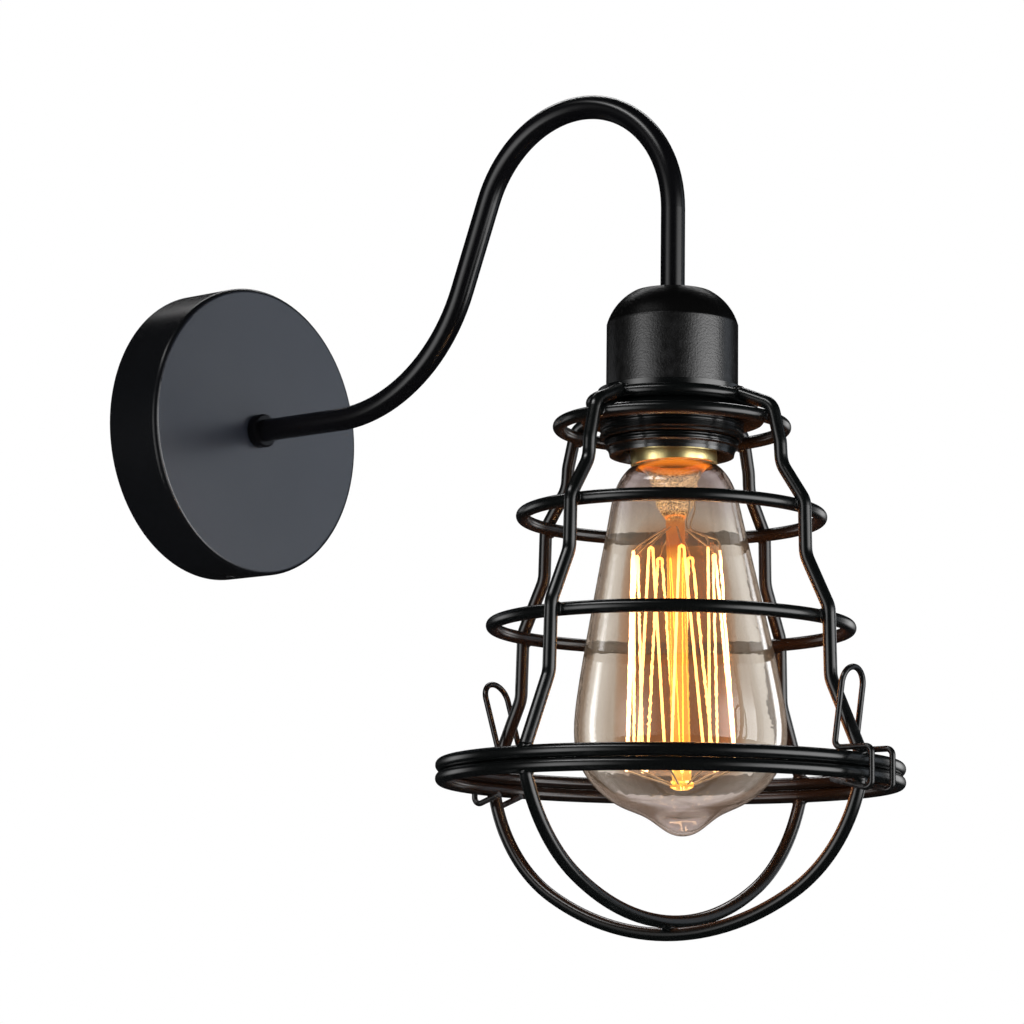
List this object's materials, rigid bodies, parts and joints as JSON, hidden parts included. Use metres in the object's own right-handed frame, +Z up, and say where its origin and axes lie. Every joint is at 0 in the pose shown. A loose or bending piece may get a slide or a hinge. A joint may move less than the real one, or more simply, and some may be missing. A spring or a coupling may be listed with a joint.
{
  "type": "cage wall light",
  "caption": "Wall light with a round plate, a swan-neck tube, a downward lampholder and bulb, and a stepped wire cage with a hinged bowl guard.",
  "frame": {"origin": "centre of the wall plate's back, on the wall, midway between the two wall screws", "axes": "+Z up, +Y into the wall, the lamp hangs on the -Y side; +X to the right when facing the wall"},
  "size_m": [0.1412, 0.2733, 0.2666],
  "materials": {
    "plate_black": "satin black powder coat",
    "arm_black": "semi-gloss black paint",
    "cup_black": "satin black paint",
    "cage_black": "semi-gloss black paint over round wire",
    "clip_wire": "blackened spring wire",
    "zinc_steel": "zinc plated",
    "brass": "bright",
    "cap_brass": "rolled bright brass",
    "holder_black": "satin black moulding",
    "holder_core": "unglazed ceramic",
    "terminal_plastic": "natural nylon",
    "brown_insulation": "soft plastic",
    "blue_insulation": "soft plastic",
    "green_insulation": "soft plastic",
    "bulb_glass": "clear, tinted smoky amber",
    "stem_glass": "clear",
    "cap_bead": "black glass",
    "contact_solder": "solder",
    "support_wire": "drawn wire",
    "filament": "glowing thread"
  },
  "bodies": {
    "root": {"wall_canopy": "plate_black", "mounting_bracket": "zinc_steel", "canopy_set_screws": "zinc_steel", "earth_screw": "brass", "earth_tag": "brass", "terminal_block": "terminal_plastic", "terminal_sleeves": "brass", "terminal_screws": "zinc_steel", "arm_tube": "arm_black", "arm_collar": "arm_black", "arm_lock_washer": "zinc_steel", "arm_lock_nut": "zinc_steel", "live_lead": "brown_insulation", "neutral_lead": "blue_insulation", "earth_lead": "green_insulation", "lampholder_cup": "cup_black", "cup_lock_nut": "zinc_steel", "lampholder_body": "holder_black", "lampholder_core": "holder_core", "screw_shell": "brass", "centre_contact": "brass", "holder_clamps": "brass", "holder_clamp_screws": "zinc_steel", "shade_ring": "holder_black", "cage_collar": "cage_black", "cage_top_ring": "cage_black", "cage_upper_ring": "cage_black", "cage_middle_ring": "cage_black", "cage_lower_ring": "cage_black", "cage_rim_ring": "cage_black", "upright_front": "cage_black", "upright_right": "cage_black", "upright_rear": "cage_black", "upright_left": "cage_black", "bulb_glass": "bulb_glass", "bulb_cap": "cap_brass", "bulb_cap_insulator": "cap_bead", "bulb_contact": "contact_solder", "bulb_stem": "stem_glass", "bulb_lead_wires": "support_wire", "filament_supports": "support_wire", "filament": "filament"},
    "guard": {"guard_ring": "cage_black", "guard_bow_front_rear": "cage_black", "guard_bow_sides": "cage_black"},
    "front_clip": {"front_clip": "clip_wire"},
    "rear_clip": {"rear_clip": "clip_wire"}
  },
  "joints": [
    {"name": "guard_swing", "type": "hinge", "parent": "root", "child": "guard", "pos_m": [0, -0.1279, -0.12565], "axis": [1, 0, 0], "range_deg": [0, 90]},
    {"name": "front_clip_flip", "type": "hinge", "parent": "guard", "child": "front_clip", "pos_m": [0, -0.2651, -0.12565], "axis": [1, 0, 0], "range_deg": [0, 75]},
    {"name": "rear_clip_flip", "type": "hinge", "parent": "root", "child": "rear_clip", "pos_m": [0, -0.1279, -0.12565], "axis": [-1, 0, 0], "range_deg": [0, 75]}
  ]
}
